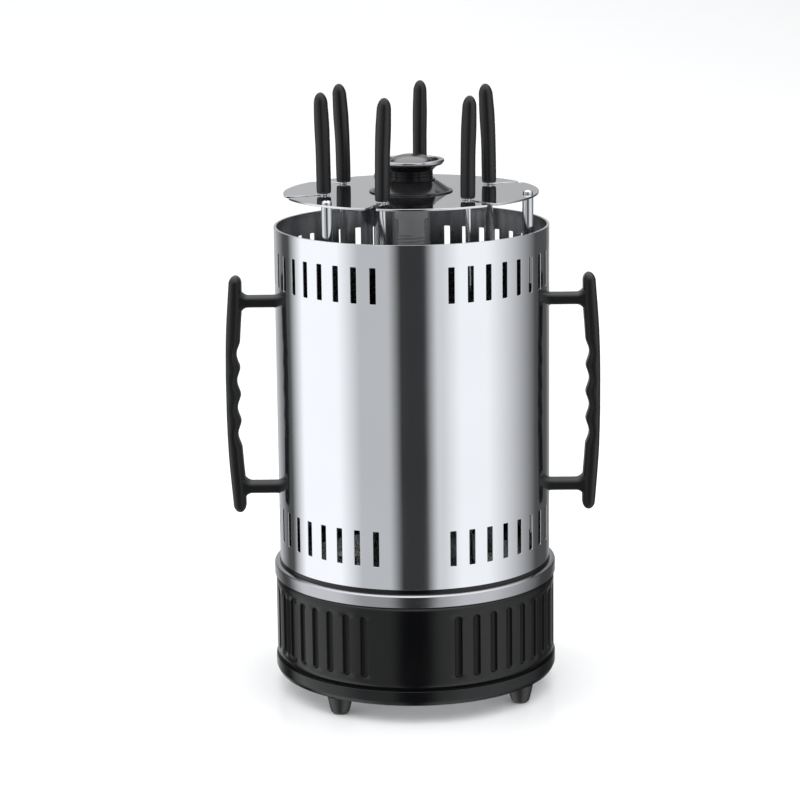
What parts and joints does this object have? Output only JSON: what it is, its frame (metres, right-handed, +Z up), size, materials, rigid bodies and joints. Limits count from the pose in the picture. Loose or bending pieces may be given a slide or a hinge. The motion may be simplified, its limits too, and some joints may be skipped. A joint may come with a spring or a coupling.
{
  "type": "vertical skewer grill",
  "caption": "Upright electric kebab grill: lift-off slotted steel casing with side handles over a black geared base, tube heater, top plate with knob and turning black-handled skewers.",
  "frame": {"origin": "on the central axis of the grill, on the floor plane under the feet", "axes": "+X towards the right-hand lifting handle, -Y towards the front, +Z up"},
  "size_m": [0.275, 0.2084, 0.4434],
  "materials": {
    "housing_black": "satin moulded black plastic with a soft gloss",
    "ring_silver": "satin silver ring",
    "foot_black": "matte black moulded feet",
    "screw_steel": "bright zinc-plated steel screws",
    "sheet_zinc": "zinc-plated sheet steel and turned steel",
    "deck_steel": "polished stainless tray",
    "plate_steel": "polished stainless plate",
    "casing_steel": "polished stainless tube with faint brushing",
    "ceramic_white": "matte white technical ceramic",
    "quartz": "clear quartz tube",
    "heating_wire": "dark oxidised resistance wire",
    "post_chrome": "polished steel posts",
    "knob_black": "black knob plastic",
    "knob_chrome": "bright plated band",
    "knob_crown": "dark grey domed crown",
    "pin_brass": "plated contact pins",
    "block_natural": "natural white terminal block",
    "handle_black": "satin black handles",
    "gear_natural": "natural nylon gears and sockets",
    "blade_steel": "stainless skewer blades",
    "grip_black": "satin black skewer grips"
  },
  "bodies": {
    "base": {"base_housing": "housing_black", "trim_ring": "ring_silver", "foot_1": "foot_black", "foot_2": "foot_black", "foot_3": "foot_black", "foot_4": "foot_black", "foot_screws": "screw_steel", "floor_plate": "sheet_zinc", "chassis_plate": "sheet_zinc", "chassis_screws": "screw_steel", "planet_axles": "sheet_zinc", "hub_pillar": "sheet_zinc", "pillar_clip": "sheet_zinc", "motor": "sheet_zinc", "motor_screws": "screw_steel", "deck": "deck_steel", "heater_socket": "ceramic_white", "heater_tube": "quartz", "heater_core": "ceramic_white", "heater_coil": "heating_wire", "heater_cap": "ceramic_white", "post_1": "post_chrome", "post_2": "post_chrome", "post_3": "post_chrome", "post_screws": "screw_steel", "top_plate": "plate_steel", "plate_screws": "plate_steel", "knob_saucer": "knob_black", "knob_grip": "knob_black", "knob_band": "knob_chrome", "knob_crown": "knob_crown", "power_inlet": "housing_black", "inlet_pins": "pin_brass", "terminal_block": "block_natural", "thermal_cutout": "sheet_zinc"},
    "casing": {"casing_shell": "casing_steel", "handle_right": "handle_black", "handle_left": "handle_black", "handle_screws": "screw_steel"},
    "sun": {"sun_gear": "gear_natural"},
    "drive": {"motor_shaft": "sheet_zinc", "pinion": "gear_natural"},
    "socket_1": {"socket_gear_1": "gear_natural"},
    "socket_2": {"socket_gear_2": "gear_natural"},
    "socket_3": {"socket_gear_3": "gear_natural"},
    "socket_4": {"socket_gear_4": "gear_natural"},
    "socket_5": {"socket_gear_5": "gear_natural"},
    "socket_6": {"socket_gear_6": "gear_natural"},
    "skewer_1": {"skewer_1": "blade_steel", "skewer_grip_1": "grip_black"},
    "skewer_2": {"skewer_2": "blade_steel", "skewer_grip_2": "grip_black"},
    "skewer_3": {"skewer_3": "blade_steel", "skewer_grip_3": "grip_black"},
    "skewer_4": {"skewer_4": "blade_steel", "skewer_grip_4": "grip_black"},
    "skewer_5": {"skewer_5": "blade_steel", "skewer_grip_5": "grip_black"},
    "skewer_6": {"skewer_6": "blade_steel", "skewer_grip_6": "grip_black"}
  },
  "joints": [
    {"name": "casing_lift", "type": "slide", "parent": "base", "child": "casing", "axis": [0, 0, 1], "range_m": [0, 0.36]},
    {"name": "sun_spin", "type": "hinge", "parent": "base", "child": "sun", "pos_m": [0, 0, 0.056], "axis": [0, 0, 1], "continuous": true},
    {"name": "drive_spin", "type": "hinge", "parent": "base", "child": "drive", "pos_m": [0.05967, -0.01268, 0.056], "axis": [0, 0, 1], "continuous": true},
    {"name": "socket_1_spin", "type": "hinge", "parent": "base", "child": "socket_1", "pos_m": [0.04002, -0.05122, 0.056], "axis": [0, 0, 1], "continuous": true},
    {"name": "socket_2_spin", "type": "hinge", "parent": "base", "child": "socket_2", "pos_m": [-0.02009, -0.06182, 0.056], "axis": [0, 0, 1], "continuous": true},
    {"name": "socket_3_spin", "type": "hinge", "parent": "base", "child": "socket_3", "pos_m": [-0.06248, -0.01792, 0.056], "axis": [0, 0, 1], "continuous": true},
    {"name": "socket_4_spin", "type": "hinge", "parent": "base", "child": "socket_4", "pos_m": [-0.04979, 0.04178, 0.056], "axis": [0, 0, 1], "continuous": true},
    {"name": "socket_5_spin", "type": "hinge", "parent": "base", "child": "socket_5", "pos_m": [0.00679, 0.06464, 0.056], "axis": [0, 0, 1], "continuous": true},
    {"name": "socket_6_spin", "type": "hinge", "parent": "base", "child": "socket_6", "pos_m": [0.05739, 0.03052, 0.056], "axis": [0, 0, 1], "continuous": true},
    {"name": "skewer_1_lift", "type": "slide", "parent": "socket_1", "child": "skewer_1", "axis": [0, 0, 1], "range_m": [0, 0.32]},
    {"name": "skewer_2_lift", "type": "slide", "parent": "socket_2", "child": "skewer_2", "axis": [0, 0, 1], "range_m": [0, 0.32]},
    {"name": "skewer_3_lift", "type": "slide", "parent": "socket_3", "child": "skewer_3", "axis": [0, 0, 1], "range_m": [0, 0.32]},
    {"name": "skewer_4_lift", "type": "slide", "parent": "socket_4", "child": "skewer_4", "axis": [0, 0, 1], "range_m": [0, 0.32]},
    {"name": "skewer_5_lift", "type": "slide", "parent": "socket_5", "child": "skewer_5", "axis": [0, 0, 1], "range_m": [0, 0.32]},
    {"name": "skewer_6_lift", "type": "slide", "parent": "socket_6", "child": "skewer_6", "axis": [0, 0, 1], "range_m": [0, 0.32]}
  ],
  "couplings": [
    {"joint": "drive_spin", "follows": "sun_spin", "ratio": -2.8125},
    {"joint": "socket_1_spin", "follows": "sun_spin", "ratio": -2.25},
    {"joint": "socket_2_spin", "follows": "sun_spin", "ratio": -2.25},
    {"joint": "socket_3_spin", "follows": "sun_spin", "ratio": -2.25},
    {"joint": "socket_4_spin", "follows": "sun_spin", "ratio": -2.25},
    {"joint": "socket_5_spin", "follows": "sun_spin", "ratio": -2.25},
    {"joint": "socket_6_spin", "follows": "sun_spin", "ratio": -2.25}
  ]
}
